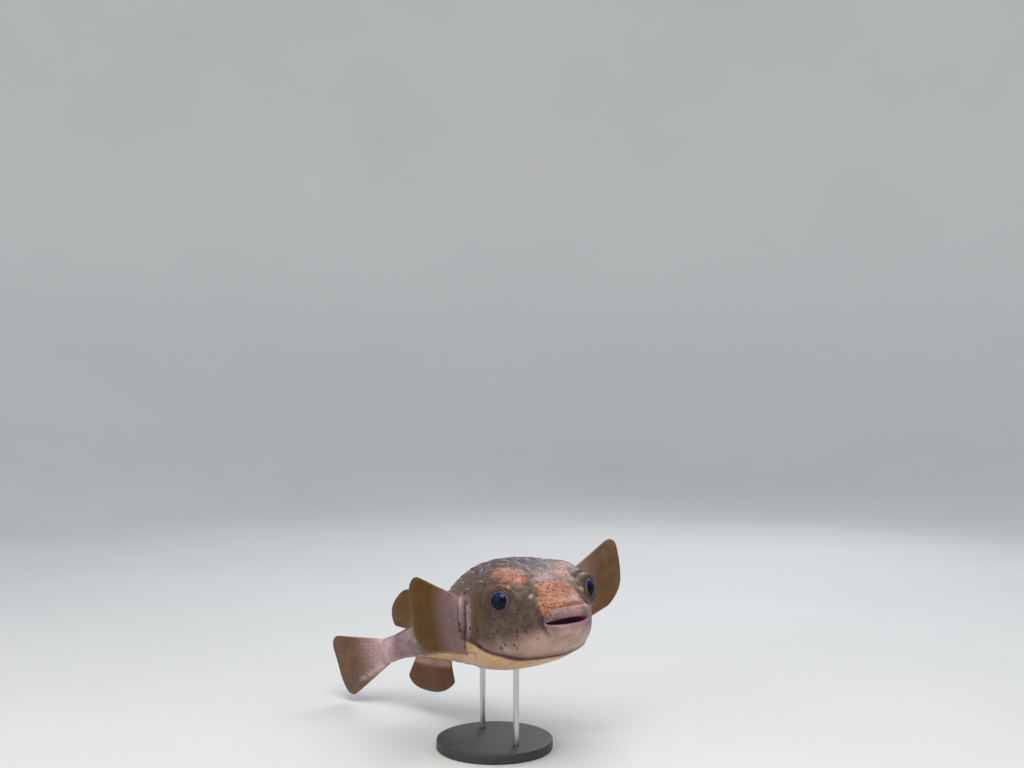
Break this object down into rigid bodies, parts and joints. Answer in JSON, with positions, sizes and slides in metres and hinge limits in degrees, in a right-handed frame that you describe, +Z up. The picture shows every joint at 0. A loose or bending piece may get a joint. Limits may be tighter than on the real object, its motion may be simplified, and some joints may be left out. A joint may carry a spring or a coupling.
{
  "type": "spotted porcupine pufferfish",
  "caption": "Life-size display model of a swimming porcupine pufferfish, side fins spread and tail turned aside, held over a flat round base by slender rods.",
  "frame": {"origin": "centre of the underside of the stand's round base, on the surface it stands on", "axes": "+Z up, the fish heads towards -Y with its left side towards +X, so +Y runs along its length"},
  "size_m": [0.2787, 0.4849, 0.2478],
  "materials": {
    "skin": "moist fish skin: orange tan snout, olive grey cheeks and mauve brown back with small dark brown spots, cream belly",
    "fin": "thin ribbed fins, olive ochre with dark spots and a pinkish root",
    "eye": "wet glossy eye, blue black pupil with a pale grey green rim",
    "stand_plate": "matt dark grey paint",
    "stand_rod": "satin steel"
  },
  "bodies": {
    "root": {"head": "skin", "upper_lip": "skin", "lower_lip": "skin", "trunk": "skin", "tail_stalk": "skin", "nostril_left": "skin", "nostril_right": "skin", "pectoral_fin_left": "fin", "pectoral_fin_right": "fin", "dorsal_fin": "fin", "anal_fin": "fin", "caudal_fin": "fin", "eye_left": "eye", "eye_right": "eye", "stand_base": "stand_plate", "stand_rod_front": "stand_rod", "stand_rod_rear": "stand_rod"}
  },
  "joints": []
}
